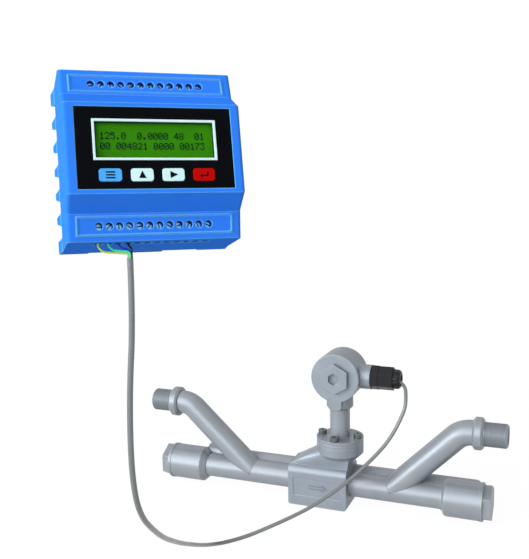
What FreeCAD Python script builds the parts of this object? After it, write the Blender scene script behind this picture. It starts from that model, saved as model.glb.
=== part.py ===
import FreeCAD, Part
import math
import os

# Frame: the origin is the middle of the inlet spigot's end face. +X runs to the outlet,
# +Y to the back and +Z up. Sizes are in millimetres and degrees.

# Clearances
fit_gap = 0.1               # radial, between pieces of one body that fit inside each other
move_gap = 0.3              # between a moving piece and its guide
key_travel = 0.5

# Measuring run, alike on both sides of the middle of the tube
pipe_od = 22.0
pipe_bore = 16.0
half_run = 116.0            # middle of the tube to a socket's full shoulder
tube_seat = 8.0             # length of the tube beyond that shoulder
inlet_branch_root = 65.0    # middle of the tube to where a branch's axis meets it
outlet_branch_root = 69.5
branch_bend = 20.0
elbow_straight = 1.2        # straight end of a branch, before its spigot
port_rise = 61.0            # tube axis up to the axis of the spigots
spigot_reach = 169.0        # middle of the tube to a spigot's end face

# Spigots
spigot_od = 20.96
spigot_length = 28.7        # with its collar
collar_od = 28.2
collar_width = 8.7
collar_chamfer = 1.8
spigot_chamfer = 1.5

# End sockets, plugs, seals and transducers
socket_od = 32.6
socket_length = 31.2
shoulder_wall = 0.6         # thinnest wall of a socket, where its shoulder runs out on the tube
inlet_cone = 5.0            # length of the inlet socket's tapered shoulder
outlet_collar = 2.0         # length of the outlet socket's collar
outlet_shoulder_round = 3.4
outlet_collar_round = 1.0
chamber_bore = 25.2
seal_thickness = 1.2
seal_recess_od = 29.2
plug_rim_od = 33.4
plug_rim_width = 2.8
plug_flats = 27.7
plug_hex_length = 7.0
plug_shank = 10.0
transducer_face_od = 15.0
transducer_face_length = 2.0

# Conduits along the back of the tube
conduit_od = 10.0
conduit_bore = 5.0
conduit_offset = 14.85      # tube axis to conduit axis
conduit_lean = 50.0         # from straight up towards the back
conduit_overlap = 26.0      # how far the outlet conduit runs along its socket
lug_od = 15.0
lug_length = 18.0
wire_hole_offset = 13.6
wire_hole_od = 3.2

# Centre block and neck
block_left = -22.9
block_right = 32.2
block_half_depth = 18.6
block_bottom = -19.2
block_top = 18.9
block_top_round = 8.0
block_end_round = 2.2
panel_side_margin = 4.7
panel_top_margin = 11.8
panel_bottom_margin = 9.2
panel_recess = 0.6
neck_x = 21.6
saddle_half_depth = 14.0
saddle_sink = 0.3           # how deep its foot goes into the block's rounded top
saddle_top = 35.8
saddle_top_od = 36.0
flange_od = 42.6
flange_start = 30.8
flange_flare = 4.0          # height and width of the cone under the flange
flange_top = 38.2
neck_bore = 21.0
cavity_wall = 1.2           # left above the tube
gasket_od = 26.0
gasket_thickness = 0.8
cover_flange_width = 6.8
rim_groove = 0.5
stem_od = 18.0
stem_bore = 10.0
stem_seat = 8.0
screw_circle = 33.4
screw_od = 4.0
screw_head_od = 7.6
screw_head_height = 4.0
screw_shank = 11.0
screw_key = 3.0
screw_key_depth = 2.0

# Junction head
head_z = 102.5
head_od = 43.7
head_half_depth = 16.0
head_front_round = 0.6
head_back_round = 1.5
boss_od = 24.0
boss_bottom = 71.2
boss_chamfer = 2.3
pad_width = 12.0            # flat pad from the head's front face down the boss
pad_round = 3.0
head_chamber_od = 28.0
head_chamber_front = -11.0
head_chamber_back = 12.5
head_plug_flats = 24.0
head_plug_height = 4.0
head_plug_shank_od = 21.0
head_plug_shank = 6.0
head_plug_key = 9.5
head_plug_key_depth = 3.5
head_seal_od = 23.6
head_seal_width = 0.8
strip_width = 16.0
strip_depth = 7.0
strip_height = 8.0
strip_pitch = 3.6
strip_hole_od = 2.0

# Nozzle and cable gland
nozzle_z = 102.4
nozzle_od = 21.8
nozzle_end = 51.5
nozzle_bore = 12.4
gland_hex_flats = 19.0
gland_hex_length = 6.6
gland_thread_length = 9.0
gland_bore = 8.8
nut_thread_od = 15.2
nut_thread_length = 7.4
nut_flats = 18.4
nut_hex_length = 12.9
nut_dome_od = 17.0
nut_dome_length = 6.5
nut_dome_round = 3.0
nut_hole = 4.0
nut_throat = 1.2            # length of the taper behind the seal, down to the hole
nut_mouth = 8.8
flute_count = 12
flute_od = 3.0
flute_depth = 0.5
cable_seal_length = 14.0

# Transmitter module: its own axes are x to the right, y into the case and z up, from the
# middle of the nose's front face
module_origin = FreeCAD.Vector(197.0, -326.3, 241.2)
module_turn = 40.7
module_lean = 14.7
module_roll = 1.15
case_width = 88.0
case_height = 86.8
case_wall = 2.0
case_round = 2.0
nose_height = 45.0
nose_depth = 11.0
shoulder_start = 60.0       # height across the case where the nose's slopes end
shoulder_depth = 14.0
cover_depth = 52.0
tooth_pitch = 12.9
tooth_count = 7
tooth_length = 11.0
tooth_root_below = 4.6
tooth_root_above = 2.4
tooth_tip_below = 1.6
tooth_tip_above = 2.0

# Terminals
terminal_count = 12
terminal_pitch = 5.0
terminal_middle = -0.8
terminal_inset = 7.5        # top of the case down to the row of screws
screw_access = 3.6
frame_side_margin = 4.75
frame_height = 9.8
frame_rib = 0.8
frame_rise = 0.5
entry_width = 3.6
entry_depth = 6.5
entry_y = 22.0
rear_notch_inset = 1.5
rear_notch_depth = 2.6
block_end = 3.5             # outermost screw to the end of a terminal block
block_front = 16.0
block_below_screw = 5.9
well_od = 4.0
well_depth = 2.7
terminal_screw_od = 3.5
terminal_screw_head = 1.4
terminal_screw_slot = 0.7
terminal_wire_hole = 2.8
terminal_wire_depth = 8.0

# Front panel, display and keys
face_side_margin = 5.4
face_end_margin = 2.2
panel_thickness = 0.8
display_z = 4.0
display_frame_width = 61.0
display_frame_height = 20.4
display_frame_border = 1.2
display_frame_proud = 0.3
window_thickness = 1.2
window_land = 0.4           # how far the frame overlaps the edge of the window's opening
lcd_side_lap = 0.5
lcd_end_lap = 1.8
lcd_gap = 0.3
key_width = 10.9
key_height = 6.3
key_round = 1.5
key_pitch = 15.3
key_z = -13.55
key_proud = 0.6
key_flange = 0.9
key_flange_thickness = 0.8
switch_size = 6.0
switch_height = 2.5
plunger_od = 3.4

# Boards
board_thickness = 1.6
display_board_y = 7.0
display_board_side_gap = 3.0
display_board_end_gap = 0.5
display_post_inset_x = 3.0
display_post_inset_z = 3.5
display_post_od = 5.0
main_board_y = 34.0
main_board_side_gap = 1.0
main_board_end_gap = 0.8
header_width = 25.4
header_height = 4.8
header_z = 10.0

# Rear base and rail latch
base_side_gap = 2.0
base_gap = 0.2
base_plate_front = 46.0
base_plate_back = 50.0
base_back = 58.0
base_post_od = 6.0
base_post_inset = 7.0
base_post_z = 24.0
rail_slot = 36.4
jaw_depth = 11.8
lip_front = 54.0
lip_back = 56.0
lip_reach = 1.8
latch_width = 20.0
latch_front = 53.3
latch_thickness = 3.4
latch_recess = 0.5          # the latch's lower end above the case's bottom
latch_reach = 1.6           # into the rail slot
latch_lip_inset = 2.0
latch_key_width = 8.0
latch_key_height = 2.0
latch_key_rise = 3.0

# Signal cable and its cores
cable_od = 3.2
core_od = 1.1
core_spread = 0.9
core_rise = 2.2
core_step = 0.9             # from one core to the next, so that they run one above the other
core_drop = 1.0
core_reach = 6.5
sheath_x = -12.9
sheath_y = 21.0
sheath_drop = 7.4           # bottom of the case down to the end of the sheath
sheath_run = 32.0
cable_inside = 16.6         # length of cable inside the gland nut
cable_outside = 3.2         # on to the corner of its first bend

X = FreeCAD.Vector(1, 0, 0)
Y = FreeCAD.Vector(0, 1, 0)
Z = FreeCAD.Vector(0, 0, 1)
ORIGIN = FreeCAD.Vector(0, 0, 0)

module_rotation = FreeCAD.Rotation(Z, module_turn).multiply(FreeCAD.Rotation(X, -module_lean))
module_place = FreeCAD.Placement(
    module_origin, module_rotation.multiply(FreeCAD.Rotation(Y, module_roll)))


def vec(x, y, z):
    return FreeCAD.Vector(x, y, z)


def box(x0, x1, y0, y1, z0, z1):
    return Part.makeBox(x1 - x0, y1 - y0, z1 - z0, vec(x0, y0, z0))


def rod(diameter, length, base, direction):
    return Part.makeCylinder(diameter / 2, length, base, direction)


def ring(outer, inner, length, base, direction):
    return rod(outer, length, base, direction).cut(rod(inner, length, base, direction))


def prism(points, sweep):
    return Part.Face(Part.makePolygon(points + points[:1])).extrude(sweep)


def hexagon(flats, length, base, direction, first_corner=0.0):
    corners = []
    for i in range(6):
        angle = math.radians(first_corner + 60 * i)
        reach = flats / 2 / math.cos(math.radians(30))
        corners.append(vec(reach * math.cos(angle), reach * math.sin(angle), 0))
    solid = prism(corners, vec(0, 0, length))
    solid.Placement = FreeCAD.Placement(base, FreeCAD.Rotation(Z, direction))
    return solid


def turned(profile, base, direction):
    """Solid of revolution from (distance along the axis, radius) pairs."""
    corners = [vec(radius, 0, along) for along, radius in profile]
    solid = Part.Face(Part.makePolygon(corners + corners[:1])).revolve(ORIGIN, Z, 360)
    solid.Placement = FreeCAD.Placement(base, FreeCAD.Rotation(Z, direction))
    return solid


def rounded_box(width, height, depth, radius):
    """Box along y from y = 0, centred in x and z, with its four long edges rounded."""
    solid = box(-width / 2, width / 2, 0, depth, -height / 2, height / 2)
    long_edges = [e for e in solid.Edges if abs(e.BoundBox.YLength - depth) < 1e-6]
    return solid.makeFillet(radius, long_edges)


def rounded_path(points, radii):
    """Straight runs through the points, joined by tangent arcs."""
    edges = []
    start = points[0]
    for before, corner, after, radius in zip(points, points[1:], points[2:], radii):
        back = (before - corner).normalize()
        ahead = (after - corner).normalize()
        half = back.getAngle(ahead) / 2
        first = corner + back * (radius / math.tan(half))
        last = corner + ahead * (radius / math.tan(half))
        inside = (back + ahead).normalize()
        middle = corner + inside * (radius / math.sin(half) - radius)
        edges.append(Part.LineSegment(start, first).toShape())
        edges.append(Part.Arc(first, middle, last).toShape())
        start = last
    edges.append(Part.LineSegment(start, points[-1]).toShape())
    return Part.Wire(edges)


def cord_radii(points):
    """Bend radii that leave a short straight length between neighbouring arcs."""
    radii = []
    for before, corner, after in zip(points, points[1:], points[2:]):
        turn = (corner - before).getAngle(after - corner)
        run = min((corner - before).Length, (after - corner).Length)
        radii.append(0.45 * run / math.tan(turn / 2))
    return radii


def swept(path, diameter):
    start = path.OrderedEdges[0]
    heading = start.tangentAt(start.FirstParameter)
    circle = Part.Circle(start.valueAt(start.FirstParameter), heading, diameter / 2)
    return path.makePipeShell([Part.Wire([circle.toShape()])], True, False)


def save(name, shape, place):
    shape = shape.copy()
    shape.Placement = place.multiply(shape.Placement)
    shape.exportStep("parts/" + name + ".step")


def round_rim(solid, radius, x, diameter):
    """Round the circular edge of that diameter that lies in the plane at x."""
    rims = []
    for edge in solid.Edges:
        bounds = edge.BoundBox
        in_plane = bounds.XLength < 1e-6 and abs(bounds.XMin - x) < 1e-6
        if in_plane and abs(bounds.ZLength - diameter) < 1e-3:
            rims.append(edge)
    return solid.makeFillet(radius, rims)


# Sensor pieces, from the middle of the measuring tube. side is -1 at the inlet, 1 at the outlet.

def tube_axis_rod(diameter):
    half = half_run + tube_seat
    return rod(diameter, 2 * half, vec(-half, 0, 0), X)


def branch_path(side):
    root = inlet_branch_root if side < 0 else outlet_branch_root
    end = spigot_reach - spigot_length
    run = end - elbow_straight - root
    drop = port_rise - branch_bend
    slope = math.atan2(drop, run) + math.asin(branch_bend / math.hypot(run, drop))
    corner = vec(side * (root + port_rise / math.tan(slope)), 0, port_rise)
    return rounded_path([vec(side * root, 0, 0), corner, vec(side * end, 0, port_rise)], [branch_bend])


def measuring_tube():
    tube = tube_axis_rod(pipe_od).cut(tube_axis_rod(pipe_bore))
    for side in (-1, 1):
        tube = tube.cut(swept(branch_path(side), pipe_bore))
    return tube


def branch(side):
    path = branch_path(side)
    return swept(path, pipe_od).cut(swept(path, pipe_bore)).cut(tube_axis_rod(pipe_od))


def spigot(side):
    profile = [
        (0, pipe_bore / 2),
        (0, collar_od / 2 - collar_chamfer),
        (collar_chamfer, collar_od / 2),
        (collar_width - collar_chamfer, collar_od / 2),
        (collar_width, collar_od / 2 - collar_chamfer),
        (collar_width, spigot_od / 2),
        (spigot_length - spigot_chamfer, spigot_od / 2),
        (spigot_length, spigot_od / 2 - spigot_chamfer),
        (spigot_length, pipe_bore / 2),
    ]
    return turned(profile, vec(side * (spigot_reach - spigot_length), 0, port_rise), X * side)


def at_conduit(side, x, offset):
    lean = math.radians(conduit_lean)
    return vec(side * x, offset * math.sin(lean), offset * math.cos(lean))


def shoulder_length(side):
    return inlet_cone if side < 0 else outlet_collar


def socket_outside(side):
    """A socket with no bores: a cone runs out on the tube at the inlet, a rounded step at the outlet."""
    neck = pipe_od / 2 + fit_gap + shoulder_wall
    start = -shoulder_length(side)
    profile = [(start, 0), (start, neck)]
    if side > 0:
        profile.append((0, neck))
    profile += [(0, socket_od / 2), (socket_length, socket_od / 2), (socket_length, 0)]
    body = turned(profile, vec(side * half_run, 0, 0), X * side)
    if side > 0:
        body = round_rim(body, outlet_shoulder_round, half_run, socket_od)
        body = round_rim(body, outlet_collar_round, half_run, 2 * neck)
    return body


def socket(side):
    out = X * side
    start = half_run - shoulder_length(side)
    seat_depth = shoulder_length(side) + tube_seat
    body = socket_outside(side)
    body = body.cut(rod(pipe_od + 2 * fit_gap, seat_depth, vec(side * start, 0, 0), out))
    chamber = vec(side * (half_run + tube_seat), 0, 0)
    body = body.cut(rod(chamber_bore, socket_length - tube_seat, chamber, out))
    recess = vec(side * (half_run + socket_length - seal_thickness), 0, 0)
    body = body.cut(rod(seal_recess_od, seal_thickness, recess, out))
    return body.cut(rod(wire_hole_od, seat_depth, at_conduit(side, start, wire_hole_offset), out))


def plug_seal(side):
    base = vec(side * (half_run + socket_length - seal_thickness), 0, 0)
    return ring(seal_recess_od - 2 * fit_gap, chamber_bore, seal_thickness, base, X * side)


def end_plug(side):
    rim_start = half_run + socket_length
    out = X * side
    rim = rod(plug_rim_od, plug_rim_width, vec(side * rim_start, 0, 0), out)
    head = hexagon(plug_flats, plug_hex_length, vec(side * (rim_start + plug_rim_width), 0, 0), out)
    shank_start = vec(side * (rim_start - plug_shank), 0, 0)
    shank = rod(chamber_bore - 2 * fit_gap, plug_shank, shank_start, out)
    return rim.fuse(head).fuse(shank).removeSplitter()


def transducer(side):
    floor = half_run + tube_seat
    length = socket_length - plug_shank - tube_seat - fit_gap
    body = rod(chamber_bore - 2 * fit_gap, length, vec(side * floor, 0, 0), X * side)
    face_start = vec(side * (floor - transducer_face_length), 0, 0)
    face = rod(transducer_face_od, transducer_face_length, face_start, X * side)
    return body.fuse(face)


def conduit_bar(side, start, end):
    """Bar with a rounded back that stands on the tube and leans to the back."""
    half = conduit_od / 2
    x = side * start
    left = vec(x, -half, conduit_offset)
    right = vec(x, half, conduit_offset)
    foot_left = vec(x, -half, 0)
    foot_right = vec(x, half, 0)
    outline = Part.Wire([
        Part.LineSegment(foot_left, left).toShape(),
        Part.Arc(left, vec(x, 0, conduit_offset + half), right).toShape(),
        Part.LineSegment(right, foot_right).toShape(),
        Part.LineSegment(foot_right, foot_left).toShape(),
    ])
    bar = Part.Face(outline).extrude(X * (side * (end - start)))
    bar.rotate(ORIGIN, X, -conduit_lean)
    return bar


def conduit(side, block_face, solid_end):
    start = abs(block_face)
    out = X * side
    if solid_end:
        end = half_run + conduit_overlap
        cap = Part.makeSphere(conduit_od / 2, at_conduit(side, end, conduit_offset))
        body = conduit_bar(side, start, end).fuse(cap)
    else:
        lug_start = at_conduit(side, half_run - lug_length, conduit_offset)
        lug = rod(lug_od, lug_length, lug_start, out)
        body = conduit_bar(side, start, half_run).fuse(lug)
    body = body.cut(rod(conduit_bore, half_run - start, at_conduit(side, start, conduit_offset), out))
    for neighbour in (socket_outside(side), tube_axis_rod(pipe_od), swept(branch_path(side), pipe_od)):
        body = body.cut(neighbour)
    return max(body.Solids, key=lambda solid: solid.Volume)


def around_neck():
    middle = vec(neck_x, 0, 0)
    return [middle + offset * (screw_circle / 2) for offset in (X, Y, X * -1, Y * -1)]


def saddle():
    """Rises from the block's rounded top to a round inside the flange."""
    half = saddle_half_depth
    along = half - block_half_depth + block_top_round
    foot_z = block_top - block_top_round + math.sqrt(block_top_round ** 2 - along ** 2) - saddle_sink
    corners = [(block_left, -half), (block_right, -half), (block_right, half), (block_left, half)]
    foot = Part.makePolygon([vec(x, y, foot_z) for x, y in corners + corners[:1]])
    arcs = []
    for first in (-135, -45, 45, 135):
        points = []
        for angle in (first, first + 45, first + 90):
            spread = vec(math.cos(math.radians(angle)), math.sin(math.radians(angle)), 0)
            points.append(vec(neck_x, 0, saddle_top) + spread * (saddle_top_od / 2))
        arcs.append(Part.Arc(*points).toShape())
    return Part.makeLoft([foot, Part.Wire(arcs)], True, True)


def centre_block():
    body = box(block_left, block_right, -block_half_depth, block_half_depth, block_bottom, block_top)
    long_top = [e for e in body.Edges if e.BoundBox.XLength > 1 and e.BoundBox.ZMin > block_top - 1e-6]
    body = body.makeFillet(block_top_round, long_top)
    end_bottom = [e for e in body.Edges
                  if e.BoundBox.YLength > 1 and e.BoundBox.ZMax < block_bottom + 1e-6]
    body = body.makeFillet(block_end_round, end_bottom)
    flange = rod(flange_od, flange_top - flange_start, vec(neck_x, 0, flange_start), Z)
    flare = Part.makeCone(flange_od / 2 - flange_flare, flange_od / 2, flange_flare,
                          vec(neck_x, 0, flange_start - flange_flare), Z)
    body = body.fuse(saddle()).fuse(flare).fuse(flange).removeSplitter()
    cavity_floor = pipe_od / 2 + cavity_wall
    body = body.cut(rod(neck_bore, flange_top - cavity_floor, vec(neck_x, 0, cavity_floor), Z))
    body = body.cut(rod(gasket_od, gasket_thickness, vec(neck_x, 0, flange_top - gasket_thickness), Z))
    body = body.cut(tube_axis_rod(pipe_od + 2 * fit_gap))
    passage = at_conduit(1, block_left, conduit_offset)
    body = body.cut(rod(conduit_bore, block_right - block_left, passage, X))
    riser = vec(neck_x, passage.y, passage.z)
    body = body.cut(rod(conduit_bore, block_top - passage.z, riser, Z))
    depth = screw_shank - cover_flange_width + 1
    for spot in around_neck():
        body = body.cut(rod(screw_od + 2 * fit_gap, depth, spot + Z * (flange_top - depth), Z))
    front = -block_half_depth
    panel = box(block_left + panel_side_margin, block_right - panel_side_margin,
                front, front + panel_recess,
                block_bottom + panel_bottom_margin, block_top - panel_top_margin)
    return body.cut(panel)


def neck_gasket():
    base = vec(neck_x, 0, flange_top - gasket_thickness)
    return ring(gasket_od - 2 * fit_gap, neck_bore, gasket_thickness, base, Z)


def neck_stem():
    top = flange_top + cover_flange_width
    groove = flange_top + cover_flange_width / 2
    profile = [
        (flange_top, stem_bore / 2),
        (flange_top, flange_od / 2),
        (groove - rim_groove, flange_od / 2),
        (groove, flange_od / 2 - rim_groove),
        (groove + rim_groove, flange_od / 2),
        (top, flange_od / 2),
        (top, stem_od / 2),
        (boss_bottom + stem_seat, stem_od / 2),
        (boss_bottom + stem_seat, stem_bore / 2),
    ]
    stem = turned(profile, vec(neck_x, 0, 0), Z)
    for spot in around_neck():
        stem = stem.cut(rod(screw_od + 2 * fit_gap, cover_flange_width, spot + Z * flange_top, Z))
    return stem


def flange_screws():
    seat = flange_top + cover_flange_width
    screws = []
    for spot in around_neck():
        head = rod(screw_head_od, screw_head_height, spot + Z * seat, Z)
        shank = rod(screw_od, screw_shank, spot + Z * (seat - screw_shank), Z)
        key_floor = spot + Z * (seat + screw_head_height - screw_key_depth)
        screws.append(head.fuse(shank).cut(hexagon(screw_key, screw_key_depth, key_floor, Z)))
    return Part.Compound(screws)


def junction_head():
    middle = vec(neck_x, 0, head_z)
    drum = rod(head_od, 2 * head_half_depth, middle - Y * head_half_depth, Y)
    for face_y, radius in ((-head_half_depth, head_front_round), (head_half_depth, head_back_round)):
        rim = [e for e in drum.Edges
               if e.BoundBox.YLength < 1e-6 and abs(e.BoundBox.YMin - face_y) < 1e-6]
        drum = drum.makeFillet(radius, rim)
    boss = turned([(boss_bottom, 0), (boss_bottom, boss_od / 2 - boss_chamfer),
                   (boss_bottom + boss_chamfer, boss_od / 2), (head_z, boss_od / 2), (head_z, 0)],
                  vec(neck_x, 0, 0), Z)
    nozzle = rod(nozzle_od, nozzle_end - neck_x, vec(neck_x, 0, nozzle_z), X)
    pad_bottom = boss_bottom + boss_chamfer
    pad = box(neck_x - pad_width / 2, neck_x + pad_width / 2, -head_half_depth, 0, pad_bottom, head_z)
    pad_corners = [e for e in pad.Edges
                   if e.BoundBox.YLength > 1 and e.BoundBox.ZMax < pad_bottom + 1e-6]
    pad = pad.makeFillet(pad_round, pad_corners)
    body = drum.fuse(boss).fuse(nozzle).fuse(pad).removeSplitter()
    chamber_depth = head_chamber_back - head_chamber_front
    front = middle - Y * head_half_depth
    body = body.cut(rod(head_chamber_od, chamber_depth, middle + Y * head_chamber_front, Y))
    body = body.cut(rod(head_plug_shank_od + 2 * fit_gap, head_half_depth, front, Y))
    body = body.cut(rod(head_seal_od + 2 * fit_gap, head_seal_width, front, Y))
    body = body.cut(rod(stem_od + 2 * fit_gap, stem_seat, vec(neck_x, 0, boss_bottom), Z))
    body = body.cut(rod(stem_bore, head_z - boss_bottom, vec(neck_x, 0, boss_bottom), Z))
    return body.cut(rod(nozzle_bore, nozzle_end - neck_x, vec(neck_x, 0, nozzle_z), X))


def head_seal():
    front = vec(neck_x, -head_half_depth, head_z)
    return ring(head_seal_od, head_plug_shank_od + 2 * fit_gap, head_seal_width, front, Y)


def head_plug():
    front = vec(neck_x, -head_half_depth, head_z)
    head = hexagon(head_plug_flats, head_plug_height, front, Y * -1, 30)
    shank = rod(head_plug_shank_od, head_plug_shank, front, Y)
    key_floor = front + Y * (head_plug_key_depth - head_plug_height)
    return head.fuse(shank).cut(hexagon(head_plug_key, head_plug_key_depth, key_floor, Y * -1, 30))


def terminal_strip():
    back = head_chamber_back
    strip = box(neck_x - strip_width / 2, neck_x + strip_width / 2, back - strip_depth, back,
                head_z - strip_height / 2, head_z + strip_height / 2)
    for i in range(4):
        hole = vec(neck_x + (i - 1.5) * strip_pitch, back - strip_depth, head_z)
        strip = strip.cut(rod(strip_hole_od, strip_depth / 2, hole, Y))
    return strip


def gland_body():
    start = vec(nozzle_end, 0, nozzle_z)
    inner_end = start - X * gland_thread_length
    body = hexagon(gland_hex_flats, gland_hex_length, start, X)
    body = body.fuse(rod(nozzle_bore - 2 * fit_gap, gland_thread_length, inner_end, X))
    body = body.fuse(rod(nut_thread_od, nut_thread_length, start + X * gland_hex_length, X))
    length = gland_thread_length + gland_hex_length + nut_thread_length
    return body.removeSplitter().cut(rod(gland_bore, length, inner_end, X))


def nut_start():
    return nozzle_end + gland_hex_length + fit_gap


def nut_end():
    return nut_start() + nut_hex_length + nut_dome_length


def gland_nut():
    start = vec(nut_start(), 0, nozzle_z)
    shoulder = start + X * nut_hex_length
    dome = rod(nut_dome_od, nut_dome_length, shoulder, X)
    dome = round_rim(dome, nut_dome_round, nut_end(), nut_dome_od)
    reach = nut_dome_od / 2 + flute_od / 2 - flute_depth
    for i in range(flute_count):
        angle = 2 * math.pi * i / flute_count
        flute = shoulder + vec(0, reach * math.cos(angle), reach * math.sin(angle))
        dome = dome.cut(rod(flute_od, nut_dome_length, flute, X))
    seal_end = cable_seal_length + fit_gap
    top = nut_hex_length + nut_dome_length
    bore = [
        (0, 0),
        (0, nut_thread_od / 2 + fit_gap),
        (nut_thread_length, nut_thread_od / 2 + fit_gap),
        (nut_thread_length, gland_bore / 2),
        (seal_end, gland_bore / 2),
        (seal_end + nut_throat, nut_hole / 2),
        (top, nut_mouth / 2),
        (top, 0),
    ]
    return hexagon(nut_flats, nut_hex_length, start, X).fuse(dome).cut(turned(bore, start, X))


def cable_seal():
    start = vec(nut_start(), 0, nozzle_z)
    return ring(gland_bore - 2 * fit_gap, cable_od + 2 * fit_gap, cable_seal_length, start, X)


# Module pieces, in the module's own axes

half_width = case_width / 2
half_height = case_height / 2
inside_width = case_width - 2 * case_wall
inside_height = case_height - 2 * case_wall
terminal_z = half_height - terminal_inset
terminal_span = terminal_pitch * (terminal_count - 1)
panel_width = case_width - 2 * face_side_margin
panel_height = nose_height - 2 * face_end_margin
display_board_width = inside_width - 2 * display_board_side_gap
display_board_height = nose_height - 2 * case_wall - 2 * display_board_end_gap
main_board_width = inside_width - 2 * main_board_side_gap
main_board_height = inside_height - 2 * main_board_end_gap
base_edge = inside_height / 2 - base_gap
half_base = inside_width / 2 - base_side_gap
half_slot = rail_slot / 2


def mirrored(shape):
    return shape.mirror(ORIGIN, Z)


def terminal_spots():
    first = terminal_middle - terminal_span / 2
    return [first + terminal_pitch * i for i in range(terminal_count)]


def key_spots():
    return [(i - 1.5) * key_pitch for i in range(4)]


def case_profile():
    half_nose = nose_height / 2
    half_start = shoulder_start / 2
    upper = [(0, half_nose), (nose_depth, half_start), (shoulder_depth, half_height),
             (cover_depth, half_height)]
    return upper + [(y, -z) for y, z in reversed(upper)]


def shoulder_frame():
    """Raised rib round the upper row of screw holes."""
    rise = half_height - shoulder_start / 2
    tilt = math.degrees(math.atan2(shoulder_depth - nose_depth, rise))
    depth = nose_depth + (terminal_z - shoulder_start / 2) * (shoulder_depth - nose_depth) / rise
    outer_w = half_width - frame_side_margin
    outer_h = frame_height / 2
    inner_w = outer_w - frame_rib
    inner_h = outer_h - frame_rib
    frame = box(-outer_w, outer_w, -frame_rise, frame_rise, -outer_h, outer_h)
    frame = frame.cut(box(-inner_w, inner_w, -frame_rise, frame_rise, -inner_h, inner_h))
    frame.Placement = FreeCAD.Placement(vec(0, depth, terminal_z), FreeCAD.Rotation(X, -tilt))
    return frame


def side_notches():
    root = cover_depth - tooth_length
    notches = []
    for i in range(tooth_count - 1):
        lower = (i - (tooth_count - 1) / 2) * tooth_pitch
        upper = lower + tooth_pitch
        corners = [(root, upper - tooth_root_below), (cover_depth, upper - tooth_tip_below),
                   (cover_depth, lower + tooth_tip_above), (root, lower + tooth_root_above)]
        notches.append(prism([vec(-half_width, y, z) for y, z in corners], vec(case_width, 0, 0)))
    return notches


def front_cover():
    outer = prism([vec(-half_width, y, z) for y, z in case_profile()], vec(case_width, 0, 0))
    rims = []
    for edge in outer.Edges:
        bounds = edge.BoundBox
        if bounds.XLength < 1e-6 and bounds.YMin < shoulder_depth - 1e-6:
            rims.append(edge)
    corners = [vec(-inside_width / 2, y, z) for y, z in case_profile()]
    wire = Part.makePolygon(corners + corners[:1])
    hollow = Part.Face(wire.makeOffset2D(-case_wall, 2)).extrude(vec(inside_width, 0, 0))
    cover = outer.makeFillet(case_round, rims).cut(hollow)
    cover = cover.cut(box(-inside_width / 2, inside_width / 2, cover_depth - 2 * case_wall, cover_depth,
                          -inside_height / 2, inside_height / 2))
    frame = shoulder_frame()
    cover = cover.fuse(frame.fuse(mirrored(frame)))
    post_x = display_board_width / 2 - display_post_inset_x
    post_z = display_board_height / 2 - display_post_inset_z
    post_length = display_board_y - case_wall / 2
    for x in (-post_x, post_x):
        for z in (-post_z, post_z):
            cover = cover.fuse(rod(display_post_od, post_length, vec(x, case_wall / 2, z), Y))
    cuts = side_notches()
    for x in terminal_spots():
        access = rod(screw_access, block_front, vec(x, 0, terminal_z), Y)
        entry = box(x - entry_width / 2, x + entry_width / 2, entry_y - entry_depth / 2,
                    entry_y + entry_depth / 2, half_height - 2 * case_wall, half_height)
        cuts += [access, mirrored(access), entry, mirrored(entry)]
    notch_x = terminal_span / 2 + block_end - rear_notch_inset
    cuts.append(box(terminal_middle - notch_x, terminal_middle + notch_x, cover_depth - rear_notch_depth,
                    cover_depth, -half_height, -half_height + case_wall))
    cuts.append(box(-panel_width / 2, panel_width / 2, 0, panel_thickness,
                    -panel_height / 2, panel_height / 2))
    opening_x = display_frame_width / 2 - window_land
    opening_z = display_frame_height / 2 - window_land
    cuts.append(box(-opening_x, opening_x, 0, case_wall, display_z - opening_z, display_z + opening_z))
    cuts += key_openings(case_wall)
    for cut in cuts:
        cover = cover.cut(cut)
    return max(cover.Solids, key=lambda solid: solid.Volume)


def key_openings(depth):
    openings = []
    for x in key_spots():
        hole = rounded_box(key_width + 2 * move_gap, key_height + 2 * move_gap, depth, key_round)
        hole.translate(vec(x, 0, key_z))
        openings.append(hole)
    return openings


def display_opening(width, height, front, back):
    return box(-width / 2, width / 2, front, back, display_z - height / 2, display_z + height / 2)


def front_panel():
    panel = box(-panel_width / 2 + fit_gap, panel_width / 2 - fit_gap, 0, panel_thickness,
                -panel_height / 2 + fit_gap, panel_height / 2 - fit_gap)
    opening_w = display_frame_width + 2 * fit_gap
    opening_h = display_frame_height + 2 * fit_gap
    panel = panel.cut(display_opening(opening_w, opening_h, 0, panel_thickness))
    for hole in key_openings(panel_thickness):
        panel = panel.cut(hole)
    return panel


def display_frame():
    frame = display_opening(display_frame_width, display_frame_height,
                            -display_frame_proud, panel_thickness)
    inner_w = display_frame_width - 2 * display_frame_border
    inner_h = display_frame_height - 2 * display_frame_border
    return frame.cut(display_opening(inner_w, inner_h, -display_frame_proud, panel_thickness))


def display_window():
    width = display_frame_width - 2 * window_land - 2 * fit_gap
    height = display_frame_height - 2 * window_land - 2 * fit_gap
    return display_opening(width, height, panel_thickness, panel_thickness + window_thickness)


def lcd_panel():
    width = display_frame_width + 2 * lcd_side_lap
    height = display_frame_height + 2 * lcd_end_lap
    return display_opening(width, height, case_wall + lcd_gap, display_board_y)


def display_board():
    return box(-display_board_width / 2, display_board_width / 2, display_board_y,
               display_board_y + board_thickness, -display_board_height / 2, display_board_height / 2)


def key(x):
    flange_front = case_wall + move_gap
    cap = rounded_box(key_width, key_height, key_proud + flange_front, key_round)
    cap.translate(vec(x, -key_proud, key_z))
    flange = rounded_box(key_width + 2 * key_flange, key_height + 2 * key_flange, key_flange_thickness,
                         key_round)
    flange.translate(vec(x, flange_front, key_z))
    return cap.fuse(flange)


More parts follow.
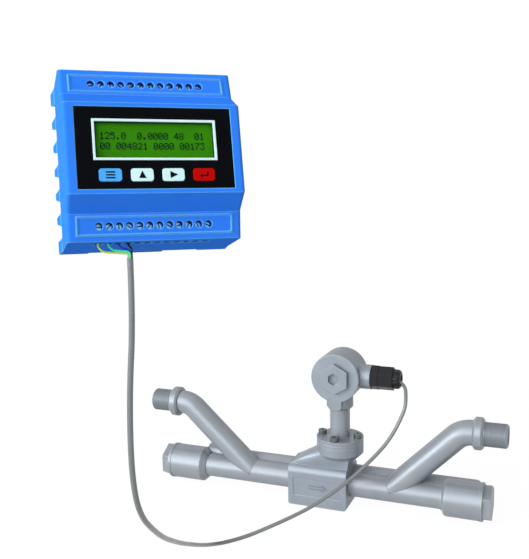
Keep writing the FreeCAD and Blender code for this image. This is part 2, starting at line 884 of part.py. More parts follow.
def key_switches():
    plunger_front = case_wall + move_gap + key_flange_thickness + key_travel + move_gap
    body_front = display_board_y - switch_height
    half = switch_size / 2
    switches = []
    for x in key_spots():
        body = box(x - half, x + half, body_front, display_board_y, key_z - half, key_z + half)
        plunger = rod(plunger_od, body_front - plunger_front, vec(x, plunger_front, key_z), Y)
        switches.append(body.fuse(plunger))
    return Part.Compound(switches)


def pin_header():
    return box(-header_width / 2, header_width / 2, display_board_y + board_thickness, main_board_y,
               header_z - header_height / 2, header_z + header_height / 2)


def main_board():
    return box(-main_board_width / 2, main_board_width / 2, main_board_y, main_board_y + board_thickness,
               -main_board_height / 2, main_board_height / 2)


def terminal_block():
    outer_z = inside_height / 2 - move_gap
    half_block = terminal_span / 2 + block_end
    block = box(terminal_middle - half_block, terminal_middle + half_block, block_front, main_board_y,
                terminal_z - block_below_screw, outer_z)
    for x in terminal_spots():
        block = block.cut(rod(well_od, well_depth, vec(x, block_front, terminal_z), Y))
        block = block.cut(rod(terminal_wire_hole, terminal_wire_depth, vec(x, entry_y, outer_z), Z * -1))
    return block


def terminal_screws():
    seat = block_front + well_depth
    screws = []
    for x in terminal_spots():
        front = seat - terminal_screw_head
        half_slot = terminal_screw_slot / 2
        half_head = terminal_screw_od / 2
        screw = rod(terminal_screw_od, terminal_screw_head, vec(x, front, terminal_z), Y)
        slot = box(x - half_head, x + half_head, front, front + terminal_screw_head / 2,
                   terminal_z - half_slot, terminal_z + half_slot)
        screws.append(screw.cut(slot))
    return Part.Compound(screws)


def rear_base():
    base = box(-half_base, half_base, base_plate_front, base_plate_back, -base_edge, base_edge)
    upper_jaw = half_slot + jaw_depth
    base = base.fuse(box(-half_base, half_base, base_plate_back, base_back, half_slot, upper_jaw))
    base = base.fuse(box(-half_base, half_base, lip_front, lip_back, half_slot - lip_reach, half_slot))
    base = base.fuse(box(-half_base, half_base, base_plate_back, base_back, -base_edge, -half_slot))
    post_front = main_board_y + board_thickness
    post_x = main_board_width / 2 - base_post_inset
    for x in (-post_x, post_x):
        for z in (-base_post_z, base_post_z):
            base = base.fuse(rod(base_post_od, base_plate_front - post_front, vec(x, post_front, z), Y))
    guide = latch_width / 2 + move_gap
    guide_front = latch_front - move_gap
    guide_back = latch_front + latch_thickness + move_gap
    base = base.removeSplitter()
    base = base.cut(box(-guide, guide, guide_front, guide_back, -base_edge, -half_slot))
    throat = guide - latch_lip_inset
    return base.cut(box(-throat, throat, guide_back, base_back, -base_edge, -half_slot))


def rail_latch():
    half = latch_width / 2
    back = latch_front + latch_thickness
    ramp = latch_thickness / 2
    bottom = latch_recess - half_height
    tip = latch_reach - half_slot
    corners = [(latch_front, bottom), (latch_front, tip), (latch_front + ramp, tip),
               (back, tip - ramp), (back, bottom)]
    latch = prism([vec(-half, y, z) for y, z in corners], vec(latch_width, 0, 0))
    pull = bottom + latch_key_rise
    half_key = latch_key_width / 2
    return latch.cut(box(-half_key, half_key, latch_front, back, pull, pull + latch_key_height))


# Cable and cores, in the part's own frame

def module_point(x, y, z):
    return module_place.multVec(vec(x, y, z))


def sheath_end():
    return module_point(sheath_x, sheath_y, -half_height - sheath_drop)


def cable_route():
    exit_x = spigot_reach + nut_end()
    exit_z = nozzle_z - port_rise
    return [
        vec(exit_x - cable_inside, 0, exit_z),
        vec(exit_x + cable_outside, 0, exit_z),
        vec(251.4, -1, 21.5),
        vec(249, -4.5, 10.5),
        vec(239.3, -12, -10.7),
        vec(225.4, -24.5, -27.1),
        vec(205.6, -42.5, -45.5),
        vec(184.6, -60.5, -59.4),
        vec(166.8, -74, -67.5),
        vec(152, -85.5, -73.1),
        vec(137.5, -95, -78.6),
        vec(124.8, -111.3, -78.6),
        vec(122, -128, -72.7),
        vec(124.2, -148, -63.4),
        vec(129.2, -174, -49.7),
        vec(137.5, -206, -32.2),
        vec(149.7, -242, -11.1),
        vec(161.3, -274, 8.3),
        vec(169.6, -301, 28.1),
        vec(173.6, -316.5, 42),
        vec(175.6, -325.5, 57),
        vec(176.4, -329.5, 80),
        vec(178.2, -330.5, 118),
        sheath_end() - Z * sheath_run,
        sheath_end(),
    ]


def core_route(index):
    """From the sheath's end up to a lower terminal. Outer cores run lowest, so that none cross."""
    right = FreeCAD.Rotation(Z, module_turn).multVec(X)
    front = right.cross(Z)
    start = sheath_end() + (right * -1, front, front * -1, right)[index] * core_spread
    x = terminal_spots()[index]
    entry = -half_height - core_drop - (len(core_names) - 1 - index) * core_step
    return [start, start + Z * (core_rise + index * core_step), module_point(x, entry_y, entry),
            module_point(x, entry_y, core_reach - half_height - core_drop)]


os.makedirs("parts", exist_ok=True)

sensor_place = FreeCAD.Placement(vec(spigot_reach, 0, -port_rise), FreeCAD.Rotation())
sensor_pieces = {
    "measuring_tube": measuring_tube(),
    "inlet_branch": branch(-1),
    "outlet_branch": branch(1),
    "inlet_spigot": spigot(-1),
    "outlet_spigot": spigot(1),
    "inlet_socket": socket(-1),
    "outlet_socket": socket(1),
    "inlet_plug_seal": plug_seal(-1),
    "outlet_plug_seal": plug_seal(1),
    "inlet_end_plug": end_plug(-1),
    "outlet_end_plug": end_plug(1),
    "inlet_transducer": transducer(-1),
    "outlet_transducer": transducer(1),
    "inlet_conduit": conduit(-1, block_left, False),
    "outlet_conduit": conduit(1, block_right, True),
    "centre_block": centre_block(),
    "neck_gasket": neck_gasket(),
    "neck_stem": neck_stem(),
    "flange_screws": flange_screws(),
    "junction_head": junction_head(),
    "head_seal": head_seal(),
    "head_plug": head_plug(),
    "terminal_strip": terminal_strip(),
    "gland_body": gland_body(),
    "gland_nut": gland_nut(),
    "cable_seal": cable_seal(),
}
for name, shape in sensor_pieces.items():
    save(name, shape, sensor_place)

block = terminal_block()
screws = terminal_screws()
module_pieces = {
    "front_cover": front_cover(),
    "front_panel": front_panel(),
    "display_frame": display_frame(),
    "display_window": display_window(),
    "lcd_panel": lcd_panel(),
    "display_board": display_board(),
    "key_switches": key_switches(),
    "pin_header": pin_header(),
    "main_board": main_board(),
    "upper_terminal_block": block,
    "lower_terminal_block": mirrored(block),
    "upper_terminal_screws": screws,
    "lower_terminal_screws": mirrored(screws),
    "rear_base": rear_base(),
    "rail_latch": rail_latch(),
}
key_names = ("menu_key", "up_key", "right_key", "enter_key")
for key_name, key_x in zip(key_names, key_spots()):
    module_pieces[key_name] = key(key_x)
for name, shape in module_pieces.items():
    save(name, shape, module_place)

core_names = ("yellow_core", "green_core", "blue_core", "black_core")
route = cable_route()
radii = cord_radii(route)
path = rounded_path(route, radii)
cable = swept(path, cable_od)
cable.exportStep("parts/signal_cable.step")
section = math.pi * cable_od ** 2 / 4
print("cable bend radii", [round(radius, 1) for radius in radii])
print("cable length", round(path.Length, 1), "volume over section x length",
      round(cable.Volume / (section * path.Length), 4))
for index, name in enumerate(core_names):
    points = core_route(index)
    bends = cord_radii(points)
    swept(rounded_path(points, bends), core_od).exportStep("parts/" + name + ".step")
    print(name, "bend radii", [round(radius, 1) for radius in bends])
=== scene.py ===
import math

import bmesh
import bpy
from mathutils import Matrix, Vector


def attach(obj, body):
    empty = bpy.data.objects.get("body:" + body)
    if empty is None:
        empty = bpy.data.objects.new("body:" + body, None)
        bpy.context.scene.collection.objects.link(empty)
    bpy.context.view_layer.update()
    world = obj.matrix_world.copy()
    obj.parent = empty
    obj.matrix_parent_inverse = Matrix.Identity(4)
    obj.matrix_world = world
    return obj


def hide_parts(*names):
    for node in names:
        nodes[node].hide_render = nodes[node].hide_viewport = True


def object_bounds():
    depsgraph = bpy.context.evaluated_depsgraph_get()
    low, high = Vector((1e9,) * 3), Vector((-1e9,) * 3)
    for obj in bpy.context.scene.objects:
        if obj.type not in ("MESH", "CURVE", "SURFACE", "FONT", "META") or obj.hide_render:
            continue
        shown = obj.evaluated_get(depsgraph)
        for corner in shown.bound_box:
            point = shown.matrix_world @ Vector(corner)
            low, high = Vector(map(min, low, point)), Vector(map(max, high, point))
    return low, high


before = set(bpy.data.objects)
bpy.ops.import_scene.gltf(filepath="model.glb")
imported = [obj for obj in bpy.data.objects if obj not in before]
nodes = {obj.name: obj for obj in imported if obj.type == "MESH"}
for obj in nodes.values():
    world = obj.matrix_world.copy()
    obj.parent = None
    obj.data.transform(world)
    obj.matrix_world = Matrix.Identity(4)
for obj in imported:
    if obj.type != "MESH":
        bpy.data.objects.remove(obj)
cad_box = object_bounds()

# Camera, fitted to the photograph: focal length in pixels of the 529 x 559 image
IMAGE_WIDTH = 529
FOCAL_PX = 800.0
CAMERA_PLACE = Vector((0.395, -0.673, 0.235))
CAMERA_TURN = math.radians(22.3)
CAMERA_PITCH = math.radians(-8.6)
CAMERA_ROLL = math.radians(-1.1)
CAMERA_CLIP = 0.01

# Module: its own axes are x to the right, y into the case and z up, from the middle of the nose
MODULE_PLACE = (
    Matrix.Translation((0.197, -0.3263, 0.2412))
    @ Matrix.Rotation(math.radians(40.7), 4, "Z")
    @ Matrix.Rotation(math.radians(-14.7), 4, "X")
    @ Matrix.Rotation(math.radians(1.15), 4, "Y")
)
FIXED_BODY = "meter"

# Display: two rows of plain numerals, in the module's axes
LCD_FACE = 0.0023
LCD_LEFT = -0.0267
LCD_ROWS = ((0.0062, "125.0  0.0000 48  01"), (0.0011, "00 004821 0000 00173"))
LCD_PITCH = 0.00260
DOT_STEP = (0.00044, 0.00050)
DOT_SIZE = (0.00043, 0.00049)
DOT_MIDDLE_ROW = 3
INK_THICKNESS = 0.00012

# Painted shadow: a dark border on the window, inside the white frame's opening, where the frame's
# shade falls
WINDOW_FACE = 0.0008
WINDOW_MIDDLE_Z = 0.0040
WINDOW_HALF = (0.0293, 0.0090)
WINDOW_BORDER = 0.0005

# Case teeth, in the module's axes: each flares from root to tip, the end ones reach the corners.
# Roots and tips run from low to high, round the middle of a tooth.
CASE_HALF = (0.044, 0.0434)
TOOTH_DEPTHS = (0.041, 0.052)
TOOTH_FLARE = 0.0013
TOOTH_PITCH = 0.0129
TOOTH_COUNT = 7
TOOTH_ROOT = (-0.0046, 0.0024)
TOOTH_TIP = (-0.0016, 0.0020)

# Keys, in the module's axes, from left to right, with their symbols' outlines in millimetres
KEY_FACE = -0.0006
KEY_Z = -0.01355
KEY_PITCH = 0.0153
KEY_SYMBOLS = {
    "menu_key": [
        [(-2.2, 1.08), (2.2, 1.08), (2.2, 1.72), (-2.2, 1.72)],
        [(-2.2, -0.32), (2.2, -0.32), (2.2, 0.32), (-2.2, 0.32)],
        [(-2.2, -1.72), (2.2, -1.72), (2.2, -1.08), (-2.2, -1.08)],
    ],
    "up_key": [[(-1.8, -1.6), (1.8, -1.6), (0, 2.0)]],
    "right_key": [[(-1.6, -1.7), (2.2, 0), (-1.6, 1.7)]],
    "enter_key": [
        [(-2.3, -0.5), (-0.9, -1.6), (-0.9, 0.6)],
        [(-1.0, -0.8), (2.1, -0.8), (2.1, 1.5), (1.45, 1.5), (1.45, -0.2), (-1.0, -0.2)],
    ],
}

# Terminal screws, backed out towards their holes: slotted heads that stand on those of the solids
TERMINAL_FIRST_X = -0.0283
TERMINAL_PITCH = 0.005
TERMINAL_COUNT = 12
TERMINAL_ROWS = {"upper_terminal_heads": 0.0359, "lower_terminal_heads": -0.0359}
TERMINAL_SEAT = 0.0173
TERMINAL_LIFT = 0.0019
HEAD_RADIUS = 0.00165
HALF_SLOT = 0.0003
HEAD_ARC_STEPS = 12
SLOT_TURN = math.radians(47)

# Flow arrow on the centre block's front panel: a thin raised outline, in millimetres from its middle.
# Its grey, darker than the casting, is painted shade along the outline.
ARROW_MIDDLE = (0.1741, -0.0180, -0.0621)
ARROW_THICKNESS = 0.0007
ARROW = [
    [(-9.0, 1.2), (-9.0, 1.5), (5.0, 1.5), (5.0, 1.2)],
    [(-9.0, -1.5), (-9.0, -1.2), (5.0, -1.2), (5.0, -1.5)],
    [(4.6, 2.9), (8.8, 0.0), (4.6, -2.9), (4.6, -2.0), (7.5, 0.0), (4.6, 2.0)],
]

# Signal cable: the route of part.py, in metres
CABLE_DIAMETER = 0.0032
CABLE_CURVE_ORDER = 3
CABLE_CURVE_STEPS = 12
CABLE_ROUND_STEPS = 6
CABLE_ROUTE = [
    (0.2300, 0.0, 0.0414),
    (0.2498, 0.0, 0.0414),
    (0.2514, -0.0010, 0.0215),
    (0.2490, -0.0045, 0.0105),
    (0.2393, -0.0120, -0.0107),
    (0.2254, -0.0245, -0.0271),
    (0.2056, -0.0425, -0.0455),
    (0.1846, -0.0605, -0.0594),
    (0.1668, -0.0740, -0.0675),
    (0.1520, -0.0855, -0.0731),
    (0.1375, -0.0950, -0.0786),
    (0.1248, -0.1113, -0.0786),
    (0.1220, -0.1280, -0.0727),
    (0.1242, -0.1480, -0.0634),
    (0.1292, -0.1740, -0.0497),
    (0.1375, -0.2060, -0.0322),
    (0.1497, -0.2420, -0.0111),
    (0.1613, -0.2740, 0.0083),
    (0.1696, -0.3010, 0.0281),
    (0.1736, -0.3165, 0.0420),
    (0.1756, -0.3255, 0.0570),
    (0.1764, -0.3295, 0.0800),
    (0.1782, -0.3305, 0.1180),
    (0.18157, -0.32970, 0.15499),
    (0.18157, -0.32970, 0.18699),
]

# Cores of the cable, as screen colours
CORE_COLOURS = {
    "yellow_core": (200, 224, 100),
    "green_core": (68, 230, 190),
    "blue_core": (30, 60, 200),
    "black_core": (24, 24, 26),
}

# Light: the way to each cool sun, its strength and its spread; then the world's strength as a light
# and as it is seen, and the floor, whose glow makes it white
SUNS = {
    "key": ((-0.30, -0.86, 0.40), 2.4, math.radians(60)),
    "side": ((-0.68, -0.72, 0.14), 1.15, math.radians(30)),
    "front": ((0.30, -0.95, 0.06), 0.4, math.radians(50)),
}
SUN_COLOUR = (0.88, 0.965, 1.0)
WORLD_LIGHT = 0.4
WORLD_SEEN = 1.04
FLOOR_REACH = 4.0
FLOOR_GREY = 0.6
FLOOR_ROUGHNESS = 0.9
FLOOR_GLOW = 1.08
FLOOR_GLOW_SHARE = 0.88

# Spigots with their pipe thread. Profiles are (along, radius) from a spigot's inner end, the run-out
# is a share of the pitch.
THREAD_PITCH = 0.001814
THREAD_DEPTH = 0.0002
THREAD_RUN_OUT = 0.3
THREAD_STEPS = 12
TURN_STEPS = 64
MERGE_DISTANCE = 1e-7
SHARP_ANGLE = math.radians(30)
SPIGOT_START = 0.0287
SPIGOT_END = 0.3093
BORE_RADIUS = 0.008
COLLAR_PROFILE = (
    (0.0, 0.0123),
    (0.0018, 0.0141),
    (0.0069, 0.0141),
    (0.0087, 0.0123),
    (0.0087, 0.01048),
)
THREAD_RANGE = (0.0095, 0.0272)
TIP_PROFILE = ((0.0272, 0.01048), (0.0287, 0.00898))

# Finishes: limits of the cloudy noise, how far roughness strays with it, and how far a normal leans
# (as a cosine) where an edge's painted highlight is at full strength
CLOUD_RANGE = (0.3, 0.7)
CLOUD_DETAIL = 5
ROUGHNESS_STRAY = 0.1
GRAIN_DETAIL = 3
GRAIN_STRENGTH = 0.5
BEVEL_SAMPLES = 8
EDGE_HIGHLIGHT_COSINE = 0.92
WINDOW_ALPHA = 0.04

# Five by seven dot numerals, one word per row from the top
NUMERALS = {
    "0": "01110 10001 10011 10101 11001 10001 01110",
    "1": "00100 01100 00100 00100 00100 00100 01110",
    "2": "01110 10001 00001 00010 00100 01000 11111",
    "3": "11111 00010 00100 00010 00001 10001 01110",
    "4": "00010 00110 01010 10010 11111 00010 00010",
    "5": "11111 10000 11110 00001 00001 10001 01110",
    "7": "11111 00001 00010 00100 01000 01000 01000",
    "8": "01110 10001 10001 01110 10001 10001 01110",
    ".": "00000 00000 00000 00000 00000 01100 01100",
}


def srgb(red, green, blue):
    """Linear colour of a screen colour from 0 to 255."""
    return tuple(c / 12.92 if c <= 0.04045 else ((c + 0.055) / 1.055) ** 2.4
                 for c in (red / 255, green / 255, blue / 255)) + (1.0,)


def surface(name, colour, roughness, metallic=0.0, specular=0.5, mottle=0.05, mottle_scale=55,
            grain=0.00004, grain_scale=2600, edge=0.0004, painted_highlight_tint=None):
    """A finish with cloudy colour and roughness, fine grain, soft edges and a painted edge highlight.
    """
    material = bpy.data.materials.new(name)
    material.use_nodes = True
    tree = material.node_tree
    shader = tree.nodes["Principled BSDF"]
    shader.inputs["Metallic"].default_value = metallic
    shader.inputs["Specular IOR Level"].default_value = specular
    place = tree.nodes.new("ShaderNodeTexCoord")
    cloud = tree.nodes.new("ShaderNodeTexNoise")
    cloud.inputs["Scale"].default_value = mottle_scale
    cloud.inputs["Detail"].default_value = CLOUD_DETAIL
    tint = tree.nodes.new("ShaderNodeValToRGB")
    for stop, share, factor in zip(tint.color_ramp.elements, CLOUD_RANGE, (1 - mottle, 1 + mottle)):
        stop.position = share
        stop.color = (*(min(1.0, c * factor) for c in colour[:3]), 1)
    gloss = tree.nodes.new("ShaderNodeMapRange")
    gloss.inputs["From Min"].default_value = CLOUD_RANGE[0]
    gloss.inputs["From Max"].default_value = CLOUD_RANGE[1]
    gloss.inputs["To Min"].default_value = roughness * (1 - ROUGHNESS_STRAY)
    gloss.inputs["To Max"].default_value = roughness * (1 + ROUGHNESS_STRAY)
    speckle = tree.nodes.new("ShaderNodeTexNoise")
    speckle.inputs["Scale"].default_value = grain_scale
    speckle.inputs["Detail"].default_value = GRAIN_DETAIL
    bump = tree.nodes.new("ShaderNodeBump")
    bump.inputs["Strength"].default_value = GRAIN_STRENGTH
    bump.inputs["Distance"].default_value = grain
    bevel = tree.nodes.new("ShaderNodeBevel")
    bevel.samples = BEVEL_SAMPLES
    bevel.inputs["Radius"].default_value = edge
    tree.links.new(place.outputs["Object"], cloud.inputs["Vector"])
    tree.links.new(place.outputs["Object"], speckle.inputs["Vector"])
    tree.links.new(cloud.outputs["Fac"], tint.inputs["Fac"])
    tree.links.new(cloud.outputs["Fac"], gloss.inputs["Value"])
    tree.links.new(speckle.outputs["Fac"], bump.inputs["Height"])
    tree.links.new(bevel.outputs["Normal"], bump.inputs["Normal"])
    tree.links.new(gloss.outputs["Result"], shader.inputs["Roughness"])
    tree.links.new(bump.outputs["Normal"], shader.inputs["Normal"])
    # Painted highlight: a lighter colour along the edges, where light would catch them
    if painted_highlight_tint:
        mix = painted_edge_highlight(tree, bevel, painted_highlight_tint)
        tree.links.new(tint.outputs["Color"], mix.inputs["A"])
        tree.links.new(mix.outputs["Result"], shader.inputs["Base Color"])
    else:
        tree.links.new(tint.outputs["Color"], shader.inputs["Base Color"])
    return material


def painted_edge_highlight(tree, bevel, colour):
    """Painted highlight: a colour mix that turns to colour where the bevelled normal leaves the
    face's own.
    """
    flat = tree.nodes.new("ShaderNodeNewGeometry")
    match = tree.nodes.new("ShaderNodeVectorMath")
    match.operation = "DOT_PRODUCT"
    share = tree.nodes.new("ShaderNodeMapRange")
    share.inputs["From Min"].default_value = 1.0
    share.inputs["From Max"].default_value = EDGE_HIGHLIGHT_COSINE
    mix = tree.nodes.new("ShaderNodeMix")
    mix.data_type = "RGBA"
    mix.inputs["B"].default_value = colour
    tree.links.new(bevel.outputs["Normal"], match.inputs[0])
    tree.links.new(flat.outputs["Normal"], match.inputs[1])
    tree.links.new(match.outputs["Value"], share.inputs["Value"])
    tree.links.new(share.outputs["Result"], mix.inputs["Factor"])
    return mix


def clear_sheet(name):
    """A faintly tinted clear sheet."""
    material = surface(name, srgb(60, 80, 60), 0.1, specular=0.03, mottle=0.02, grain=0.000005)
    material.node_tree.nodes["Principled BSDF"].inputs["Alpha"].default_value = WINDOW_ALPHA
    return material


def dress(material, *names):
    """Give the named nodes one material."""
    for name in names:
        nodes[name].data.materials.clear()
        nodes[name].data.materials.append(material)


def plate_piece(name, outlines, thickness, place, material, body):
    """Thin closed shapes that stand proud of a face. Outlines are x, z points and -y is outwards."""
    mesh = bmesh.new()
    for outline in outlines:
        back = [mesh.verts.new((x, 0, z)) for x, z in outline]
        front = [mesh.verts.new((x, -thickness, z)) for x, z in outline]
        mesh.faces.new(front)
        mesh.faces.new(list(reversed(back)))
        for i in range(len(outline)):
            j = (i + 1) % len(outline)
            mesh.faces.new((front[i], back[i], back[j], front[j]))
    added_piece(name, mesh, place, [material], body)


def added_piece(name, mesh, place, materials, body):
    """Turn a finished bmesh into a piece that rides on a body."""
    bmesh.ops.recalc_face_normals(mesh, faces=mesh.faces)
    data = bpy.data.meshes.new(name)
    mesh.to_mesh(data)
    mesh.free()
    data.transform(place)
    for material in materials:
        data.materials.append(material)
    obj = bpy.data.objects.new(name, data)
    bpy.context.scene.collection.objects.link(obj)
    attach(obj, body)
    return obj


def millimetres(outlines):
    return [[(x / 1000, z / 1000) for x, z in outline] for outline in outlines]


def rectangle(left, low, right, high):
    return [(left, low), (right, low), (right, high), (left, high)]


# Painted shadow of the white frame: four dark bars round the window's edge
def window_painted_shadow(material):
    half_w, half_h = WINDOW_HALF
    inner_w, inner_h = half_w - WINDOW_BORDER, half_h - WINDOW_BORDER
    bars = [
        rectangle(-half_w, inner_h, half_w, half_h),
        rectangle(-half_w, -half_h, half_w, -inner_h),
        rectangle(-half_w, -inner_h, -inner_w, inner_h),
        rectangle(inner_w, -inner_h, half_w, inner_h),
    ]
    face = MODULE_PLACE @ Matrix.Translation((0, WINDOW_FACE, WINDOW_MIDDLE_Z))
    plate_piece("window_painted_shadow", bars, INK_THICKNESS, face, material, FIXED_BODY)


def display_numerals(material):
    dots = []
    for middle_z, text in LCD_ROWS:
        for place, character in enumerate(text):
            for row, bits in enumerate(NUMERALS.get(character, "").split()):
                for column, bit in enumerate(bits):
                    if bit == "1":
                        x = LCD_LEFT + place * LCD_PITCH + column * DOT_STEP[0]
                        z = middle_z + (DOT_MIDDLE_ROW - row) * DOT_STEP[1]
                        dots.append(rectangle(x, z, x + DOT_SIZE[0], z + DOT_SIZE[1]))
    face = MODULE_PLACE @ Matrix.Translation((0, LCD_FACE, 0))
    plate_piece("display_numerals", dots, INK_THICKNESS, face, material, FIXED_BODY)


def key_symbols(material):
    left = -(len(KEY_SYMBOLS) - 1) / 2 * KEY_PITCH
    for index, (key, outlines) in enumerate(KEY_SYMBOLS.items()):
        face = MODULE_PLACE @ Matrix.Translation((left + index * KEY_PITCH, KEY_FACE, KEY_Z))
        plate_piece(key + "_symbol", millimetres(outlines), INK_THICKNESS, face, material, key)


def tooth_heights(index):
    """Low and high ends of a tooth, at its root and at its tip."""
    middle = (index - (TOOTH_COUNT - 1) / 2) * TOOTH_PITCH
    half_height = CASE_HALF[1]
    ends = []
    for low, high in (TOOTH_ROOT, TOOTH_TIP):
        ends.append((-half_height if index == 0 else middle + low,
                     half_height if index == TOOTH_COUNT - 1 else middle + high))
    return ends


def side_teeth(material):
    mesh = bmesh.new()
    root_y, tip_y = TOOTH_DEPTHS
    for side in (-1, 1):
        wall = side * CASE_HALF[0]
        for index in range(TOOTH_COUNT):
            root, tip = tooth_heights(index)
            corners = [(wall, root_y, z) for z in root]
            corners += [(x, tip_y, z) for x in (wall, wall + side * TOOTH_FLARE) for z in tip]
            bmesh.ops.convex_hull(mesh, input=[mesh.verts.new(corner) for corner in corners])
    added_piece("side_teeth", mesh, MODULE_PLACE, [material], FIXED_BODY)


def half_heads(x, z, turn):
    """Outlines of a slotted screw head, one each side of its slot."""
    start = math.asin(HALF_SLOT / HEAD_RADIUS)
    outlines = []
    for side in (0, math.pi):
        outline = []
        for step in range(HEAD_ARC_STEPS + 1):
            angle = side + turn + start + (math.pi - 2 * start) * step / HEAD_ARC_STEPS
            outline.append((x + HEAD_RADIUS * math.cos(angle), z + HEAD_RADIUS * math.sin(angle)))
        outlines.append(outline)
    return outlines


def terminal_heads(material):
    face = MODULE_PLACE @ Matrix.Translation((0, TERMINAL_SEAT, 0))
    for name, z in TERMINAL_ROWS.items():
        outlines = []
        for index in range(TERMINAL_COUNT):
            x = TERMINAL_FIRST_X + index * TERMINAL_PITCH
            outlines += half_heads(x, z, index * SLOT_TURN)
        plate_piece(name, outlines, TERMINAL_LIFT, face, material, FIXED_BODY)


def flow_arrow(material):
    face = Matrix.Translation(ARROW_MIDDLE)
    plate_piece("flow_arrow", millimetres(ARROW), ARROW_THICKNESS, face, material, FIXED_BODY)


def thread_points():
    """Rows of points wound along the thread, as (along, radius, angle), cut off at its two ends."""
    first, last = THREAD_RANGE
    crest = COLLAR_PROFILE[-1][1]
    rows = math.ceil((last - first) / THREAD_PITCH * THREAD_STEPS)
    points = []
    for row in range(-THREAD_STEPS, rows + 1):
        flank = abs(2 * (row % THREAD_STEPS) / THREAD_STEPS - 1)
        wound = []
        for step in range(TURN_STEPS + 1):
            turn = step / TURN_STEPS
            along = first + (row / THREAD_STEPS + turn) * THREAD_PITCH
            along = min(max(along, first), last)
            to_end = (last - along) / (THREAD_RUN_OUT * THREAD_PITCH)
            fade = min(1.0, (along - first) / THREAD_PITCH, to_end)
            wound.append((along, crest - THREAD_DEPTH * flank * fade, 2 * math.pi * turn))
        points.append(wound)
    return points


def ring_points(along, radius):
    return [(along, radius, 2 * math.pi * step / TURN_STEPS) for step in range(TURN_STEPS + 1)]


def threaded_spigot(node, start, way, material, thread_material):
    """A spigot with its collar, a wound thread and an open bore."""
    rows = [ring_points(0.0, BORE_RADIUS)]
    rows += [ring_points(*point) for point in COLLAR_PROFILE]
    first_thread = len(rows)
    rows += thread_points()
    last_thread = len(rows)
    rows += [ring_points(*point) for point in TIP_PROFILE]
    rows += [ring_points(TIP_PROFILE[-1][0], BORE_RADIUS), rows[0]]
    mesh = bmesh.new()
    grid = [[mesh.verts.new((start + way * along, radius * math.sin(angle), radius * math.cos(angle)))
             for along, radius, angle in row] for row in rows]
    for row, (low, high) in enumerate(zip(grid, grid[1:])):
        for i in range(TURN_STEPS):
            face = mesh.faces.new((low[i], low[i + 1], high[i + 1], high[i]))
            face.material_index = 1 if first_thread <= row < last_thread else 0
            face.smooth = True
    bmesh.ops.remove_doubles(mesh, verts=mesh.verts, dist=MERGE_DISTANCE)
    obj = added_piece(node + "_thread", mesh, Matrix.Identity(4), [material, thread_material],
                      FIXED_BODY)
    obj.data.set_sharp_from_angle(angle=SHARP_ANGLE)
    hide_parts(node)


def camera():
    data = bpy.data.cameras.new("camera")
    data.sensor_fit = "HORIZONTAL"
    data.lens = data.sensor_width * FOCAL_PX / IMAGE_WIDTH
    data.clip_start = CAMERA_CLIP
    sin_t, cos_t = math.sin(CAMERA_TURN), math.cos(CAMERA_TURN)
    sin_p, cos_p = math.sin(CAMERA_PITCH), math.cos(CAMERA_PITCH)
    ahead = Vector((-sin_t * cos_p, cos_t * cos_p, sin_p))
    right = Vector((cos_t, sin_t, 0))
    up = right.cross(ahead)
    level = Matrix((right, up, -ahead)).transposed()
    obj = bpy.data.objects.new("camera", data)
    turned = (level @ Matrix.Rotation(CAMERA_ROLL, 3, "Z")).to_4x4()
    obj.matrix_world = Matrix.Translation(CAMERA_PLACE) @ turned
    bpy.context.scene.collection.objects.link(obj)
    bpy.context.scene.camera = obj


def cable(material):
    curve = bpy.data.curves.new("signal_cable_cord", "CURVE")
    curve.dimensions = "3D"
    curve.bevel_depth = CABLE_DIAMETER / 2
    curve.bevel_resolution = CABLE_ROUND_STEPS
    curve.use_fill_caps = True
    curve.resolution_u = CABLE_CURVE_STEPS
    spline = curve.splines.new("NURBS")
    spline.points.add(len(CABLE_ROUTE) - 1)
    for point, place in zip(spline.points, CABLE_ROUTE):
        point.co = (*place, 1)
    spline.order_u = CABLE_CURVE_ORDER
    spline.use_endpoint_u = True
    curve.materials.append(material)
    obj = bpy.data.objects.new("signal_cable_cord", curve)
    bpy.context.scene.collection.objects.link(obj)
    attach(obj, FIXED_BODY)
    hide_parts("signal_cable")


def seen_directly(tree):
    """1 for rays that show the background: from the camera, a mirror or a window."""
    path = tree.nodes.new("ShaderNodeLightPath")
    either = tree.nodes.new("ShaderNodeMath")
    either.operation = "MAXIMUM"
    any_of = tree.nodes.new("ShaderNodeMath")
    any_of.operation = "MAXIMUM"
    tree.links.new(path.outputs["Is Camera Ray"], either.inputs[0])
    tree.links.new(path.outputs["Is Glossy Ray"], either.inputs[1])
    tree.links.new(either.outputs[0], any_of.inputs[0])
    tree.links.new(path.outputs["Is Transmission Ray"], any_of.inputs[1])
    return any_of.outputs[0]


def floor_material():
    """White where it is seen, with a share of plain matt that keeps the object's shadow."""
    material = bpy.data.materials.new("floor_white")
    material.use_nodes = True
    tree = material.node_tree
    shader = tree.nodes["Principled BSDF"]
    shader.inputs["Base Color"].default_value = (FLOOR_GREY, FLOOR_GREY, FLOOR_GREY, 1)
    shader.inputs["Roughness"].default_value = FLOOR_ROUGHNESS
    shader.inputs["Specular IOR Level"].default_value = 0.0
    glow = tree.nodes.new("ShaderNodeEmission")
    glow.inputs["Strength"].default_value = FLOOR_GLOW
    share = tree.nodes.new("ShaderNodeMath")
    share.operation = "MULTIPLY"
    share.inputs[1].default_value = FLOOR_GLOW_SHARE
    mix = tree.nodes.new("ShaderNodeMixShader")
    tree.links.new(seen_directly(tree), share.inputs[0])
    tree.links.new(share.outputs[0], mix.inputs[0])
    tree.links.new(shader.outputs["BSDF"], mix.inputs[1])
    tree.links.new(glow.outputs["Emission"], mix.inputs[2])
    tree.links.new(mix.outputs["Shader"], tree.nodes["Material Output"].inputs["Surface"])
    return material


